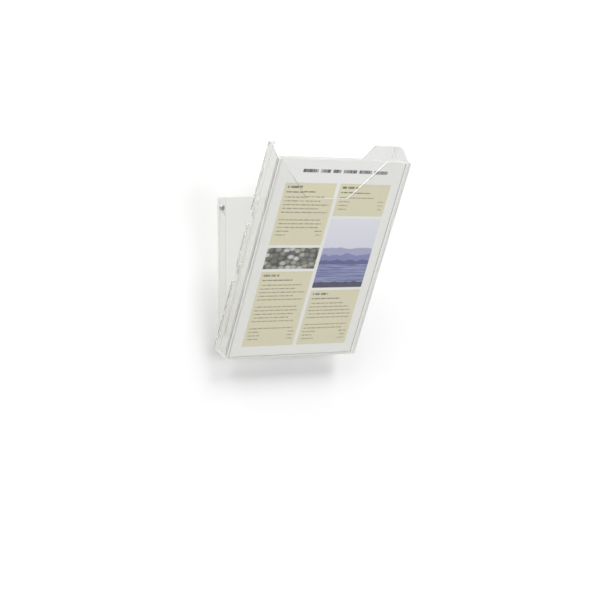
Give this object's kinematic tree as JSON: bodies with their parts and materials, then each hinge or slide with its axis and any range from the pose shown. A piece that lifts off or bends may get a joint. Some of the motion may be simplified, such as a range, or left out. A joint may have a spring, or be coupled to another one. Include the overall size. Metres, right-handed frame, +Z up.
{
  "type": "wall brochure rack",
  "caption": "Clear wall-hung brochure pocket that leans forward on a wedge bracket, with an off-centre finger cut-out and a stack of printed leaflets standing in it.",
  "frame": {"origin": "on the wall plane, halfway between the two wall screws", "axes": "+X to the right of someone facing the rack, -Y out of the wall towards that person, +Z up"},
  "size_m": [0.224, 0.1939, 0.2956],
  "materials": {
    "clear_sheet": "clear polished sheet with eased edges, faintly warm",
    "printed_paper": null,
    "zinc_steel": "dull zinc-plated steel",
    "grey_nylon": "grey moulded nylon"
  },
  "bodies": {
    "bracket": {"carrier_plate": "clear_sheet", "left_cheek": "clear_sheet", "right_cheek": "clear_sheet", "left_wall_flange": "clear_sheet", "right_wall_flange": "clear_sheet", "upper_left_hook": "clear_sheet", "upper_right_hook": "clear_sheet", "lower_left_hook": "clear_sheet", "lower_right_hook": "clear_sheet", "left_wall_screw": "zinc_steel", "right_wall_screw": "zinc_steel", "left_wall_plug": "grey_nylon", "right_wall_plug": "grey_nylon"},
    "pocket": {"back_panel": "clear_sheet", "front_panel": "clear_sheet", "floor_panel": "clear_sheet", "left_side_wall": "clear_sheet", "right_side_wall": "clear_sheet"},
    "leaflet_1": {"leaflet_1": "printed_paper"},
    "leaflet_2": {"leaflet_2": "printed_paper"},
    "leaflet_3": {"leaflet_3": "printed_paper"},
    "leaflet_4": {"leaflet_4": "printed_paper"},
    "leaflet_5": {"leaflet_5": "printed_paper"},
    "leaflet_6": {"leaflet_6": "printed_paper"}
  },
  "joints": [
    {"name": "pocket_lift", "type": "slide", "parent": "bracket", "child": "pocket", "axis": [0, -0.4321, 0.9018], "range_m": [0, 0.011]},
    {"name": "leaflet_1_pull", "type": "slide", "parent": "pocket", "child": "leaflet_1", "axis": [0, -0.4321, 0.9018], "range_m": [0, 0.32]},
    {"name": "leaflet_2_pull", "type": "slide", "parent": "pocket", "child": "leaflet_2", "axis": [0, -0.4321, 0.9018], "range_m": [0, 0.32]},
    {"name": "leaflet_3_pull", "type": "slide", "parent": "pocket", "child": "leaflet_3", "axis": [0, -0.4321, 0.9018], "range_m": [0, 0.32]},
    {"name": "leaflet_4_pull", "type": "slide", "parent": "pocket", "child": "leaflet_4", "axis": [0, -0.4321, 0.9018], "range_m": [0, 0.32]},
    {"name": "leaflet_5_pull", "type": "slide", "parent": "pocket", "child": "leaflet_5", "axis": [0, -0.4321, 0.9018], "range_m": [0, 0.32]},
    {"name": "leaflet_6_pull", "type": "slide", "parent": "pocket", "child": "leaflet_6", "axis": [0, -0.4321, 0.9018], "range_m": [0, 0.32]}
  ]
}
